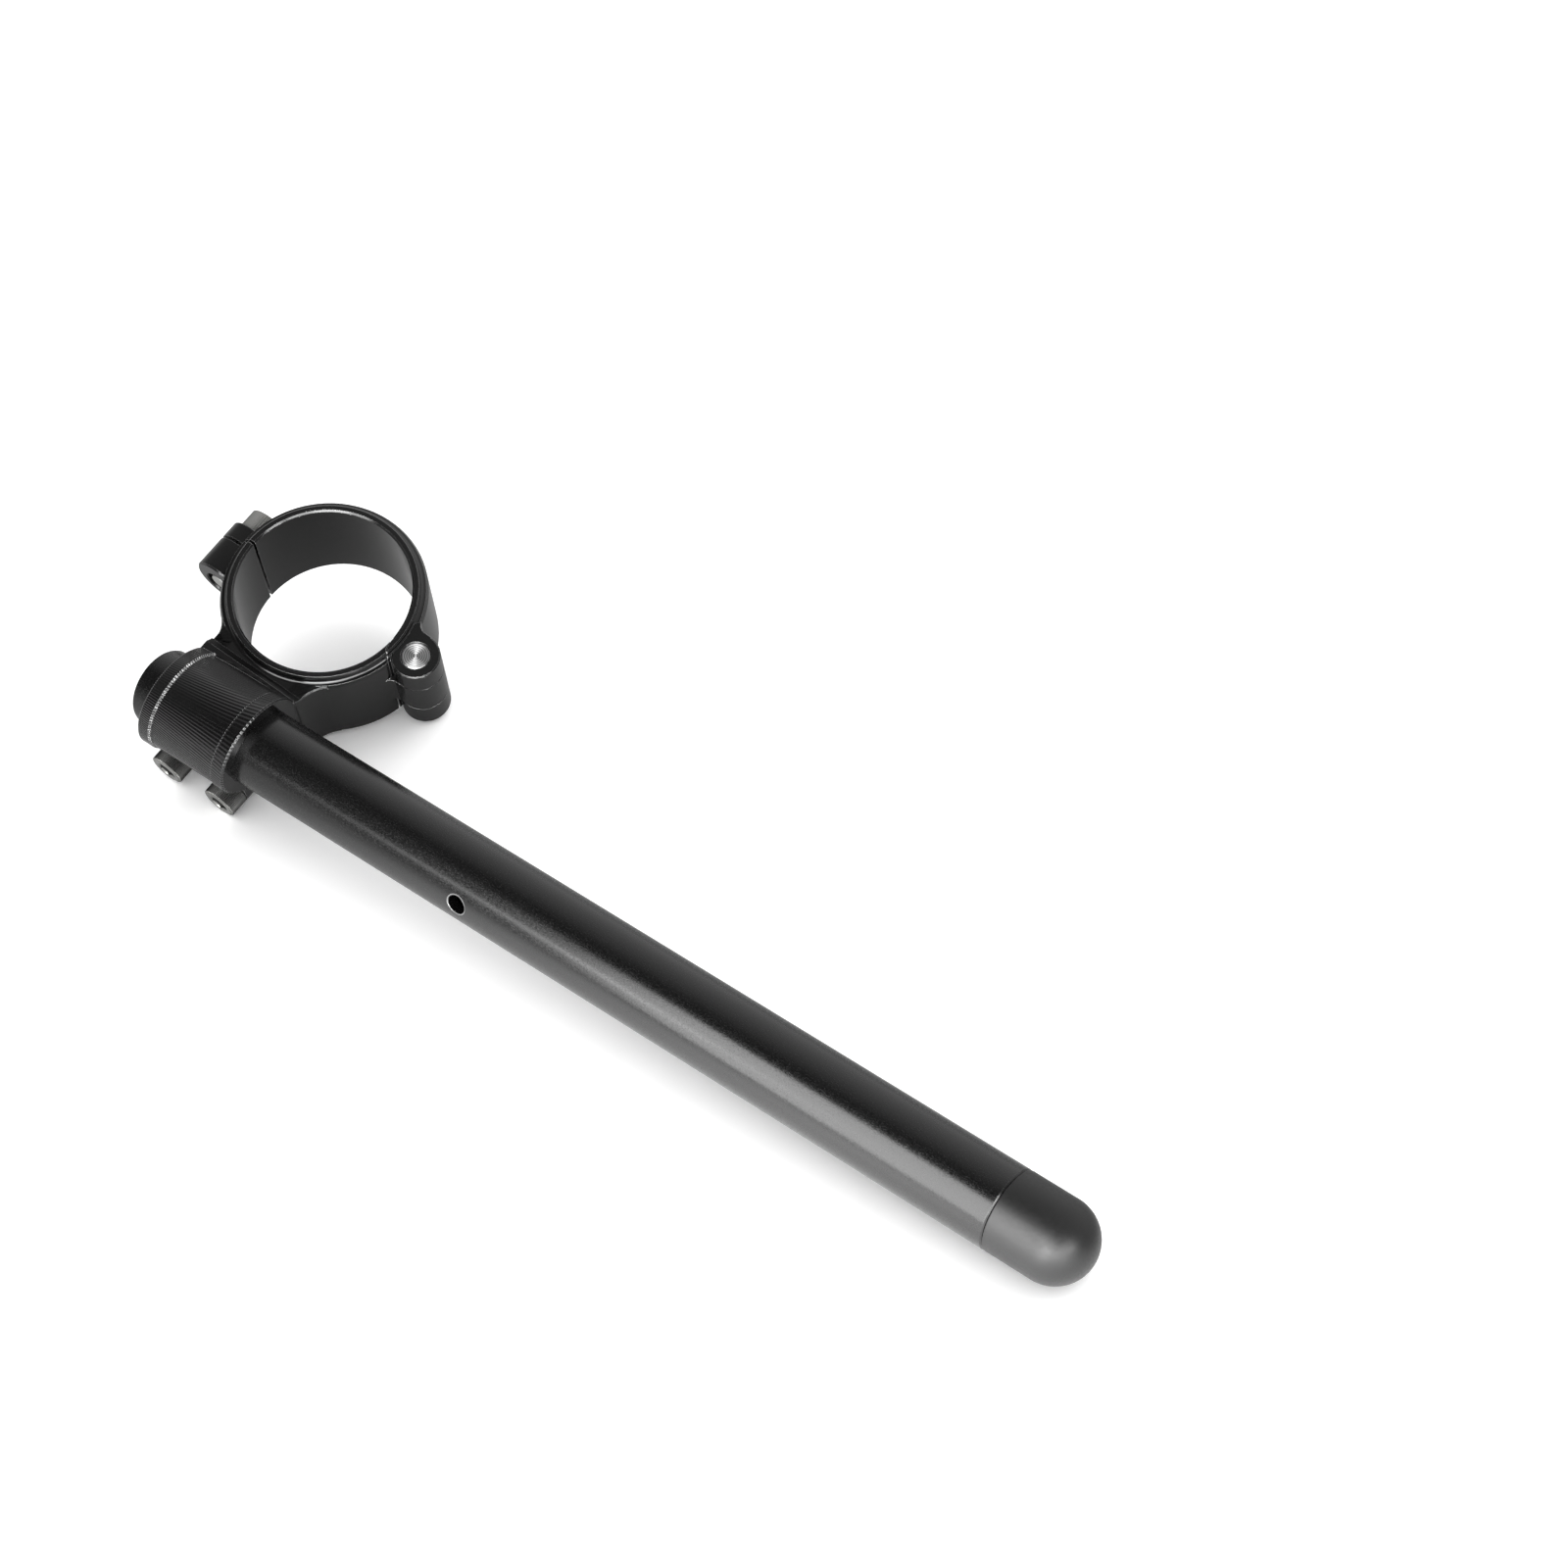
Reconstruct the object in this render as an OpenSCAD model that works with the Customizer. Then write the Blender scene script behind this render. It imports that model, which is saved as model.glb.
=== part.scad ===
// Clip on handlebar for a motorcycle: a hinged fork clamp with a 22 mm bar.
// One unit of a left and right pair.
// Frame: the fork tube axis is Z and the origin is the middle of the fork bore.
// X runs along the bar towards the grip end, and Y from the bar towards the fork tube.

/* [Build] */
// Facets on a full circle
facets = 96; // [32:8:160]

/* [Fork ring] */
// Diameter of the fork tube that the ring grips
fork_d = 49; // [35:0.5:56]
// Thickness of the ring wall
wall_t = 4.18; // [3:0.02:8]
// Total height of the ring, lips included
ring_h = 32.1; // [24:0.1:45]
// Height of the raised lip on the top
lip_top = 1.9; // [0.8:0.1:3]
// Height of the raised lip on the underside
lip_low = 2.4; // [0.5:0.1:4]
// Width of the flat on the top lip, chamfer included
lip_w = 1.75; // [1:0.05:2.5]
// Radius of the cove that runs outside the top lip
cove_r = 1.5; // [0.5:0.1:2]
// Height of the slope on the ring's shoulder, outside the cove
shoulder_h = 1.2; // [0.4:0.1:3]
// Chamfer at both ends of the fork bore
bore_chamfer = 0.5; // [0.2:0.1:1]
// Gap between the two halves at the bolt side
split_gap = 0.8; // [0.4:0.1:2]

/* [Hinge] */
// Distance from the bore's wall to the axis of the hinge pin
hinge_out = 7.9; // [7.2:0.1:12]
// Radius of the hinge knuckles
knuckle_r = 6.8; // [5.8:0.1:9]
// Height of the knuckles above the web
knuckle_up = 0.4; // [0:0.1:1]
// Diameter of the hinge pin
pin_d = 7.8; // [5:0.1:9]
// Radial running clearance of the hinged half on the pin
pin_run = 0.05; // [0.03:0.01:0.1]
// Height of the middle knuckle
mid_h = 11.65; // [8:0.05:15]
// Height of the middle knuckle's centre above the ring's mid height
mid_z = 0.62; // [-1:0.02:1]
// Gap between knuckles, along the pin
knuckle_gap = 0.3; // [0.1:0.05:0.6]
// Radius of the fillet between ring wall and knuckles
knuckle_fillet = 3; // [1:0.5:6]

/* [Clamp ears and bolt] */
// Distance from the bore's wall to the axis of the clamp bolt
ear_out = 7.3; // [6.4:0.1:12]
// Radius of the barrel shaped ears
ear_r = 7.5; // [7:0.1:9]
// Length of the threaded ear, from the split
ear_fixed_l = 10.5; // [8:0.5:14]
// Length of the hinged ear, from the split
ear_half_l = 5.7; // [5:0.1:12]
// Height of the ears' axis above the ring's mid height
ear_z = 0.95; // [-1:0.05:2]
// Distance from the ears' axis down to the bolt's axis
bolt_drop = 1.2; // [0:0.1:2]
// Depth of the flat seat for the bolt head
ear_seat = 1.3; // [0.5:0.1:3]
// Thread size of the clamp bolt
bolt_d = 8; // [6:1:10]
// Length of the clamp bolt under the head
bolt_l = 14.5; // [12:0.5:22]

/* [Bar boss] */
// Distance from the bore's wall to the bar axis
bar_out = 21.2; // [19:0.1:32]
// Height of the bar axis above the ring's mid height, beside the ring
bar_z = 11.05; // [4:0.05:14]
// Angle that the bar makes with the ring's plane
bar_rise = 11.3; // [0:0.1:14]
// Outer radius of the boss over its two collars
boss_r = 15.2; // [14.2:0.1:18]
// Depth of the waist between the collars
waist = 0.45; // [0.2:0.05:1.5]
// Face of the boss at the rider's side, along X
boss_x0 = -16; // [-22:0.5:-12]
// Face of the boss at the grip side, along X
boss_x1 = 15.4; // [12:0.1:22]
// Width of the collars
collar_w = 4.4; // [2:0.1:6]
// Distance from the bar axis to the underside of the lugs
lug_drop = 20.4; // [18.5:0.1:26]
// Distance from the bar axis to the outer seat of the pinch screws
lug_out = 9.4; // [7:0.1:12]
// Width of the pinch slot
slot_w = 1.1; // [0.6:0.1:2]
// Radius of the fillet between web and ring, on the grip side
web_fillet = 11.5; // [3:0.5:14]
// Radius of the fillet between web and ring, on the rider's side
web_fillet_back = 7; // [1:0.5:10]
// Step in from the boss's end face to the web's side, on the rider's side
web_in = 0.5; // [0:0.1:2]
// Height of the small ledge where the boss rises from the web
ledge_h = 1.5; // [0.3:0.1:2]

/* [Pinch screws] */
// Thread size of the two pinch screws
screw_d = 6; // [5:0.5:6]
// Length of the pinch screws under the head
screw_l = 20; // [16:1:22]
// Distance between the two pinch screws
screw_pitch = 19.6; // [16:0.2:22]
// Distance from the bar axis down to the screws
screw_drop = 15.6; // [15.2:0.1:18]

/* [Bar] */
// Outer diameter of the bar
bar_d = 22.2; // [20:0.1:26]
// Inner diameter of the bar
bar_id = 16; // [10:0.5:19]
// Length of bar that stands out behind the boss, from beside the ring
bar_back = 21.7; // [18:0.1:40]
// Length of bar in front, from beside the ring to the end cap
bar_front = 262.3; // [150:1:320]
// Diameter of the wire hole
hole_d = 5.5; // [4:0.5:8]
// Distance of the wire hole along the bar
hole_at = 96.3; // [40:1:200]
// Turn of the wire hole round the bar, from the fork side over the top
hole_turn = 152; // [0:1:359]

/* [End cap] */
// Straight length of the cap before its dome
cap_l = 13.4; // [4:0.2:30]
// Length of the plug inside the bar
plug_l = 18; // [10:1:40]
// Step of the bar's bore that takes the plug
plug_step = 0.5; // [0.3:0.1:1]

/* [Clearances] */
// Radial clearance of a screw in its plain hole
screw_clear = 0.25; // [0.1:0.05:0.6]
// Radial clearance of the bar in the boss and of the plug in the bar
bar_clear = 0.05; // [0.02:0.01:0.15]
// Gap between the hinged ring end and its relief
relief_gap = 0.3; // [0.2:0.05:0.6]

/* [Hidden] */
$fn = facets;
black = [0.06, 0.06, 0.065];
satin = [0.11, 0.11, 0.12];
cap_black = [0.03, 0.03, 0.03];
steel = [0.72, 0.72, 0.71];

bore_r = fork_d / 2;
band_r = bore_r + wall_t;
hinge_x = bore_r + hinge_out;
ear_x = bore_r + ear_out;
bar_offset = bore_r + bar_out;
z_top = ring_h / 2;
z_low = -ring_h / 2;
band_top = z_top - lip_top;
band_low = z_low + lip_low;
knuckle_top = band_top + knuckle_up;
lip_x = bore_r + lip_w;
edge = 0.5;

mid_top = mid_z + mid_h / 2;
mid_low = mid_z - mid_h / 2;
pin_r = pin_d / 2;
// the ring's end at the hinge follows a circle round the pin that just clears the bore
end_r = hinge_x - bore_r - 0.2;
relief_r = end_r + relief_gap;
slot_r = knuckle_r + relief_gap;
bolt_z = ear_z - bolt_drop;

head_bolt_r = bolt_d * 0.8125;
seat_r = head_bolt_r + 0.5;
bolt_root_r = bolt_d * 0.404;
seat_y = ear_half_l - ear_seat;

bar_y = -bar_offset;
lug_y = bar_y - lug_out;
screw_root_r = screw_d * 0.398;
head_screw_r = screw_d * 0.8333;
boss_xm = (boss_x0 + boss_x1) / 2 + 0.8;
rise_t = tan(bar_rise);
rise_c = cos(bar_rise);
lug_round = lug_drop - screw_drop;
boss_w = boss_x1 - boss_x0;
plug_r = bar_id / 2 + plug_step;
big = 200;

// height of the bar axis at a place along X
function axis_z(x) = bar_z + x * rise_t;
// height of a line that runs a distance d under the bar axis
function under_z(x, d) = axis_z(x) - d / rise_c;

// frame of the bar: its own z is the bar axis
module along_bar() {
  translate([0, bar_y, bar_z]) rotate([0, 90 - bar_rise, 0]) children();
}

// a cylinder along +Y that starts at y
module y_rod(x, y, z, r, l) {
  translate([x, y, z]) rotate([-90, 0, 0]) cylinder(r = r, h = l);
}

// section of the ring wall, with its lips, cove and chamfers
module ring_section() {
  difference() {
    polygon([[bore_r, z_low + bore_chamfer], [bore_r + bore_chamfer, z_low], [band_r, z_low],
             [band_r, z_top], [bore_r + bore_chamfer, z_top], [bore_r, z_top - bore_chamfer]]);
    // outside the top lip: its small edge, the cove and the sloped shoulder
    polygon([[lip_x, z_top + 1], [lip_x, z_top], [lip_x + 0.35, band_top + cove_r],
             [lip_x + 0.35 + cove_r, band_top], [band_r, band_top - shoulder_h],
             [band_r + 1, band_top - shoulder_h], [band_r + 1, z_top + 1]]);
    translate([lip_x + 0.35 + cove_r, band_top + cove_r]) circle(r = cove_r);
    // outside the lower lip
    polygon([[lip_x + 0.6, z_low - 1], [lip_x + 0.6, z_low], [lip_x + 1.6, band_low],
             [band_r - edge, band_low], [band_r, band_low + edge],
             [band_r + 1, band_low + edge], [band_r + 1, z_low - 1]]);
  }
}

module ring_wall() {
  rotate_extrude() ring_section();
}

// what turns about the fork axis and cuts the web, ears and knuckles
module ring_cuts() {
  translate([0, 0, -big / 2]) cylinder(r = bore_r, h = big);
  translate([0, 0, z_top - bore_chamfer])
    cylinder(r1 = bore_r, r2 = bore_r + bore_chamfer + 2, h = bore_chamfer + 2);
  translate([0, 0, z_low - 2])
    cylinder(r1 = bore_r + bore_chamfer + 2, r2 = bore_r, h = bore_chamfer + 2);
}

// half space on one side of the split
module side_y(s) {
  translate([-big / 2, s > 0 ? split_gap / 2 : -big - split_gap / 2, -big / 2]) cube([big, big, big]);
}

// fillet between the ring wall and a straight flank that lies at distance d from the X axis
module flank(d, rf, x_end) {
  xc = sqrt(pow(band_r + rf, 2) - pow(d + rf, 2));
  k = band_r / (band_r + rf);
  difference() {
    polygon([[xc * k, (d + rf) * k], [xc, d + rf], [xc, d], [x_end, d], [x_end, 0],
             [bore_r + 1, 0]]);
    translate([xc, d + rf]) circle(r = rf);
  }
}

// plan of one knuckle with the arm that ties it to the ring wall on side s
module knuckle_plan(s) {
  translate([hinge_x, 0]) circle(r = knuckle_r);
  mirror([0, s > 0 ? 0 : 1]) flank(knuckle_r, knuckle_fillet, hinge_x);
}

// side view of the web and the lugs, in X and Z
module web_side() {
  xr = boss_x1 - lug_round;
  xl = boss_x0 + lug_round;
  zr = under_z(xr, screw_drop);
  zl = under_z(xl, screw_drop);
  tx = lug_round * sin(bar_rise);
  tz = lug_round * rise_c;
  polygon([[boss_x0, band_top], [boss_x1, band_top], [boss_x1, zr], [xr, zr],
           [xr + tx, zr - tz], [xl + tx, zl - tz], [xl, zl], [boss_x0, zl]]);
  translate([xr, zr]) circle(r = lug_round);
  translate([xl, zl]) circle(r = lug_round);
}

// one side of the web's root in plan, with its fillet against the ring wall
module web_corner(d, rf) {
  flank(d, rf, sqrt(pow(band_r + rf, 2) - pow(d + rf, 2)) + 1);
}

// root of the web, as high as the ring between its lips
module web_root() {
  translate([0, 0, band_low]) linear_extrude(band_top - band_low) {
    rotate(-90) web_corner(boss_x1, web_fillet);
    mirror([1, 0]) rotate(-90) web_corner(-boss_x0 - web_in, web_fillet_back);
  }
}

// plan of the web and the lugs under the boss
module web_plan() {
  foot = bar_y + boss_r;
  translate([boss_x0, lug_y]) square([boss_w, foot - lug_y]);
  translate([boss_x0 + web_in, lug_y]) square([boss_w - web_in, -lug_y - bore_r + 4]);
}

// slab between two planes across X
module slab(x0, x1) {
  translate([x0, -big / 2, -big / 2]) cube([x1 - x0, big, big]);
}

module boss_solid() {
  for (p = [[boss_x0, boss_x0 + collar_w, boss_r], [boss_x0 + collar_w, boss_x1 - collar_w, boss_r - waist],
            [boss_x1 - collar_w, boss_x1, boss_r]])
    intersection() {
      along_bar() translate([0, 0, -boss_w]) cylinder(r = p[2], h = 2 * boss_w);
      slab(p[0], p[1]);
    }
}

// ledge along the foot of the boss, with its sloped edge
module ledge() {
  foot = bar_y + boss_r;
  translate([boss_x0, 0, 0]) rotate([90, 0, 90]) linear_extrude(boss_w)
    polygon([[foot - boss_r / 4, band_top - 1], [foot - boss_r / 4, band_top + ledge_h],
             [foot + 0.2, band_top + ledge_h], [foot + 1.2, band_top + 0.4 * ledge_h],
             [foot + 2.1, band_top], [foot + 2.1, band_top - 1]]);
}

// screw axes of the pinch screws: X and Z
function pinch(s) = [boss_xm + s * screw_pitch / 2, under_z(boss_xm + s * screw_pitch / 2, screw_drop)];

module clamp_body() {
  color(satin)
  difference() {
    union() {
      intersection() { ring_wall(); side_y(-1); }
      translate([0, 0, mid_low]) linear_extrude(mid_h) knuckle_plan(-1);
      web_root();
      intersection() {
        translate([0, 0, -big / 2]) linear_extrude(big) web_plan();
        rotate([90, 0, 0]) linear_extrude(-lug_y + 1) web_side();
      }
      ledge();
      boss_solid();
      translate([-ear_x, -ear_fixed_l, ear_z]) rotate([-90, 0, 0]) {
        cylinder(r1 = ear_r - edge, r2 = ear_r, h = edge);
        translate([0, 0, edge]) cylinder(r = ear_r, h = ear_fixed_l - edge - split_gap / 2);
      }
    }
    ring_cuts();
    // room for the outer knuckles of the hinged half
    translate([hinge_x, 0, mid_top]) cylinder(r = relief_r, h = big);
    translate([hinge_x, 0, mid_low - big]) cylinder(r = relief_r, h = big);
    // hinge pin, pressed into the middle knuckle
    translate([hinge_x, 0, mid_low - 1]) cylinder(r = pin_r, h = mid_h + 2);
    // clamp bolt thread, at its full diameter
    y_rod(-ear_x, -ear_fixed_l - 1, bolt_z, bolt_d / 2 + 0.1, ear_fixed_l + 2);
    // bar seat and its pinch slot
    along_bar() translate([0, 0, -2 * boss_w]) cylinder(r = bar_d / 2 + bar_clear, h = 4 * boss_w);
    translate([boss_x0 - 1, bar_y + 0.6 - slot_w / 2, -big])
      cube([boss_w + 2, slot_w, big + bar_z - bar_d / 4]);
    // pinch screws: plain hole in the outer lug, thread in the inner one, and room for the head
    for (s = [-1, 1]) {
      y_rod(pinch(s)[0], lug_y - big, pinch(s)[1], head_screw_r + relief_gap, big);
      y_rod(pinch(s)[0], lug_y - 1, pinch(s)[1], screw_d / 2 + screw_clear, lug_out + 1.6);
      y_rod(pinch(s)[0], bar_y, pinch(s)[1], screw_d / 2, screw_l - lug_out + 2);
    }
  }
}

module clamp_half() {
  color(satin)
  difference() {
    union() {
      difference() {
        intersection() { ring_wall(); side_y(1); }
        // two shallow grooves that run out before the hinge
        for (z = [5.05, -7.35]) translate([0.4, 0, z - 0.7]) difference() {
          cylinder(r = band_r + 3, h = 1.4);
          translate([0, 0, -1]) cylinder(r = band_r - 0.2, h = 4);
          translate([12, -big / 2, -1]) cube([big, big, 4]);
        }
      }
      // ring end at the hinge, round the pin
      intersection() {
        ring_wall();
        translate([hinge_x, 0, -big / 2]) cylinder(r = end_r, h = big);
      }
      translate([0, 0, band_low]) linear_extrude(knuckle_top - band_low) knuckle_plan(1);
      y_rod(-ear_x, split_gap / 2, ear_z, ear_r, ear_half_l - split_gap / 2);
    }
    ring_cuts();
    // room for the middle knuckle of the body
    translate([hinge_x, 0, mid_low - knuckle_gap]) cylinder(r = slot_r, h = mid_h + 2 * knuckle_gap);
    translate([0, -big - split_gap / 2, mid_low - knuckle_gap])
      cube([hinge_x, big + split_gap, mid_h + 2 * knuckle_gap]);
    // hinge pin, which this half turns on
    translate([hinge_x, 0, -big / 2]) cylinder(r = pin_r + pin_run, h = big);
    translate([hinge_x, 0, knuckle_top - 0.25])
      cylinder(r1 = pin_r + pin_run, r2 = pin_r + pin_run + 0.5, h = 0.5);
    // bolt hole and head seat
    y_rod(-ear_x, -1, bolt_z, bolt_d / 2 + 0.5, ear_half_l + 2);
    y_rod(-ear_x, seat_y, bolt_z, seat_r, ear_half_l + bolt_d);
  }
}

module hinge_pin() {
  color(steel) translate([hinge_x, 0, band_low + 0.2]) cylinder(r = pin_r, h = knuckle_top - band_low - 0.2);
}

// socket head screw that lies along +Y, its head's seat at y = 0
module socket_screw(root_r, l, head_r, head_h, key, key_h) {
  rotate([-90, 0, 0]) difference() {
    union() {
      cylinder(r = root_r, h = l - 0.8);
      translate([0, 0, l - 0.8]) cylinder(r1 = root_r, r2 = root_r - 0.6, h = 0.8);
      translate([0, 0, -head_h + 0.4]) cylinder(r = head_r, h = head_h - 0.4);
      translate([0, 0, -head_h]) cylinder(r1 = head_r - 0.4, r2 = head_r, h = 0.4);
    }
    translate([0, 0, -head_h - 1]) cylinder(r = key / sqrt(3), h = key_h + 1, $fn = 6);
  }
}

module clamp_bolt() {
  color(steel) translate([-ear_x, seat_y, bolt_z]) mirror([0, 1, 0])
    socket_screw(bolt_root_r, bolt_l, head_bolt_r, bolt_d, bolt_d * 0.75, bolt_d / 2);
}

module pinch_screw(s) {
  color(steel) translate([pinch(s)[0], lug_y, pinch(s)[1]])
    socket_screw(screw_root_r, screw_l, head_screw_r, screw_d, screw_d * 0.8333, screw_d / 2);
}

module pinch_screw_inner() { pinch_screw(-1); }
module pinch_screw_outer() { pinch_screw(1); }

module bar_tube() {
  color(black) along_bar() difference() {
    union() {
      translate([0, 0, -bar_back]) cylinder(r1 = bar_d / 2 - 0.8, r2 = bar_d / 2, h = 0.8);
      translate([0, 0, 0.8 - bar_back]) cylinder(r = bar_d / 2, h = bar_front + bar_back - 0.8);
    }
    translate([0, 0, -bar_back - 1]) cylinder(r = bar_id / 2, h = bar_front + bar_back + 2);
    // wider seat for the cap's plug
    translate([0, 0, bar_front - plug_l]) cylinder(r = plug_r, h = plug_l + 1);
    translate([0, 0, hole_at]) rotate([0, 0, hole_turn + 90])
      rotate([0, 90, 0]) cylinder(r = hole_d / 2, h = bar_d);
  }
}

module end_cap() {
  color(cap_black) along_bar() {
    translate([0, 0, bar_front + 0.1]) cylinder(r = bar_d / 2, h = cap_l - 0.1);
    intersection() {
      translate([0, 0, bar_front + cap_l]) sphere(r = bar_d / 2);
      translate([0, 0, bar_front + cap_l]) cylinder(r = bar_d, h = bar_d);
    }
    translate([0, 0, bar_front - plug_l + 0.2]) cylinder(r = plug_r - bar_clear, h = plug_l + 0.8);
  }
}

clamp_body();
clamp_half();
hinge_pin();
clamp_bolt();
pinch_screw_inner();
pinch_screw_outer();
bar_tube();
end_cap();
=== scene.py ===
from math import atan2, cos, pi, radians, sin, sqrt, tan

import bpy
from mathutils import Matrix, Vector


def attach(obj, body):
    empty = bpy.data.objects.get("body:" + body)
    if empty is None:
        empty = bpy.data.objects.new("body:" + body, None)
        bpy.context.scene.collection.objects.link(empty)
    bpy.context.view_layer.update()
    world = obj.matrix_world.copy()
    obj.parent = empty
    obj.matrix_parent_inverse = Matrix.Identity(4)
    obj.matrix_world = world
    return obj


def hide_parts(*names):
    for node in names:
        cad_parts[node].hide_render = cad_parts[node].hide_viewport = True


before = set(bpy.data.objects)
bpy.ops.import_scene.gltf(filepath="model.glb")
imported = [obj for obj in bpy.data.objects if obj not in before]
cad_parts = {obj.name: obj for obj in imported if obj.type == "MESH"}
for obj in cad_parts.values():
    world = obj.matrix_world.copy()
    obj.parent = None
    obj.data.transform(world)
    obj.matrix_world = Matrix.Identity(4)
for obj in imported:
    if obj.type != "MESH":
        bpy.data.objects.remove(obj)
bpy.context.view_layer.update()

# ---------------------------------------------------------------- sizes, in metres
MM = 0.001
bore_r, band_r = 24.5 * MM, 28.68 * MM
z_top, z_low = 16.05 * MM, -16.05 * MM
band_top, band_low = 14.15 * MM, -13.65 * MM
lip_x = bore_r + 1.75 * MM
cove_r = 1.5 * MM
shoulder_h = 1.2 * MM
bore_chamfer = 0.5 * MM
split_gap = 0.8 * MM

hinge_x = 32.4 * MM
knuckle_r, knuckle_top = 6.8 * MM, 14.55 * MM
knuckle_fillet = 3 * MM
knuckle_gap = 0.3 * MM
mid_low, mid_top = -5.205 * MM, 6.445 * MM
pin_r, pin_run = 3.9 * MM, 0.05 * MM
ring_end_r = hinge_x - bore_r - 0.2 * MM
relief_gap = 0.3 * MM

ear_x, ear_z, ear_r = -31.8 * MM, 0.95 * MM, 7.5 * MM
fixed_ear_end, hinged_ear_end = -10.5 * MM, 5.7 * MM
bolt_z = -0.25 * MM
bolt_seat_y = 4.4 * MM
bolt_thread_r, bolt_head_r, bolt_l = 4 * MM, 6.5 * MM, 14.5 * MM

bar_y, bar_z = -45.7 * MM, 11.05 * MM
bar_rise = radians(11.3)
bar_r, bar_bore_r = 11.1 * MM, 8 * MM
bar_back, bar_front = -21.7 * MM, 262.3 * MM
plug_r, plug_l = 8.5 * MM, 18 * MM
cap_l = 13.4 * MM
wire_hole_r, wire_hole_at = 2.75 * MM, 96.3 * MM
wire_hole_turn = radians(152)

boss_r, waist_r = 15.2 * MM, 14.75 * MM
boss_x0, boss_x1 = -16 * MM, 15.4 * MM
web_in = 0.5 * MM
collar_w = 4.4 * MM
lug_y = bar_y - 9.4 * MM
screw_drop = 15.6 * MM
lug_round = 4.8 * MM
slot_w = 1.1 * MM
screw_mid_x, screw_pitch = 0.5 * MM, 19.6 * MM
screw_thread_r, screw_head_r, screw_l = 3 * MM, 5 * MM, 20 * MM

X, Y, Z = Vector((1, 0, 0)), Vector((0, 1, 0)), Vector((0, 0, 1))
bar_axis = Vector((cos(bar_rise), 0, sin(bar_rise)))
bar_top = Vector((-sin(bar_rise), 0, cos(bar_rise)))
bar_origin = Vector((0, bar_y, bar_z))
ROUND = 256


# ---------------------------------------------------------------- bench tools
def deselect():
    bpy.ops.object.select_all(action="DESELECT")


def pick(piece):
    deselect()
    piece.select_set(True)
    bpy.context.view_layer.objects.active = piece


def turn_to(axis):
    """The turn that brings +Z to an axis."""
    return Vector(axis).to_track_quat("Z", "Y").to_euler()


def settle(piece):
    """Put an object's place and turn into its mesh."""
    pick(piece)
    bpy.ops.object.transform_apply(location=True, rotation=True, scale=True)
    return piece


def bevel_rim(piece, is_face, width, segments=1):
    """Bevel the rim of the faces that is_face picks by their normal and middle."""
    pick(piece)
    bpy.ops.object.mode_set(mode="EDIT")
    bpy.ops.mesh.select_mode(type="FACE")
    bpy.ops.mesh.select_all(action="DESELECT")
    bpy.ops.object.mode_set(mode="OBJECT")
    for face in piece.data.polygons:
        face.select = is_face(face.normal, face.center)
    bpy.ops.object.mode_set(mode="EDIT")
    bpy.ops.mesh.region_to_loop()
    bpy.ops.mesh.bevel(offset=width, segments=segments, affect="EDGES")
    bpy.ops.object.mode_set(mode="OBJECT")
    return piece


def rod(name, foot, axis, r, length, foot_edge=0, tip_edge=0, sides=ROUND):
    """A turned rod that runs from its foot along an axis, with bevelled ends."""
    deselect()
    axis = Vector(axis).normalized()
    bpy.ops.mesh.primitive_cylinder_add(vertices=sides, radius=r, depth=length,
                                        location=Vector(foot) + axis * (length / 2),
                                        rotation=turn_to(axis))
    piece = bpy.context.object
    piece.name = name
    if foot_edge:
        bevel_rim(piece, lambda n, c: n.z < -0.9, foot_edge)
    if tip_edge:
        bevel_rim(piece, lambda n, c: n.z > 0.9, tip_edge)
    return settle(piece)


def block(name, low, high):
    """A cutter block between two corners."""
    deselect()
    low, high = Vector(low), Vector(high)
    bpy.ops.mesh.primitive_cube_add(size=1, location=(low + high) / 2, scale=high - low)
    piece = bpy.context.object
    piece.name = name
    return settle(piece)


def wire(name, points, closed):
    """A chain of edges, to be spun or filled."""
    mesh = bpy.data.meshes.new(name)
    last = len(points) if closed else len(points) - 1
    mesh.from_pydata(points, [(i, (i + 1) % len(points)) for i in range(last)], [])
    piece = bpy.data.objects.new(name, mesh)
    bpy.context.scene.collection.objects.link(piece)
    pick(piece)
    return piece


def lathe(name, outline, foot=(0, 0, 0), axis=(0, 0, 1), steps=ROUND):
    """Spin an outline of (radius, height) points; one that ends on the axis stays open there."""
    open_ends = outline[0][0] == 0 and outline[-1][0] == 0
    piece = wire(name, [(r, 0, h) for r, h in outline], not open_ends)
    bpy.ops.object.mode_set(mode="EDIT")
    bpy.ops.mesh.select_all(action="SELECT")
    bpy.ops.mesh.spin(steps=steps, angle=2 * pi, center=(0, 0, 0), axis=(0, 0, 1))
    bpy.ops.mesh.select_all(action="SELECT")
    bpy.ops.mesh.remove_doubles(threshold=1e-7)
    bpy.ops.mesh.normals_make_consistent(inside=False)
    bpy.ops.object.mode_set(mode="OBJECT")
    piece.rotation_euler = turn_to(axis)
    piece.location = foot
    return settle(piece)


def prism(name, outline, across, low, high):
    """Extrude a closed outline; across is the axis that it is extruded along."""
    flat = {"Z": lambda a, b: (a, b, low), "Y": lambda a, b: (a, low, b), "X": lambda a, b: (low, a, b)}
    step = {"Z": (0, 0, high - low), "Y": (0, high - low, 0), "X": (high - low, 0, 0)}
    piece = wire(name, [flat[across](a, b) for a, b in outline], True)
    bpy.ops.object.mode_set(mode="EDIT")
    bpy.ops.mesh.select_all(action="SELECT")
    bpy.ops.mesh.edge_face_add()
    bpy.ops.mesh.extrude_region_move(TRANSFORM_OT_translate={"value": step[across]})
    bpy.ops.mesh.select_all(action="SELECT")
    bpy.ops.mesh.normals_make_consistent(inside=False)
    bpy.ops.object.mode_set(mode="OBJECT")
    return piece


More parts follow.
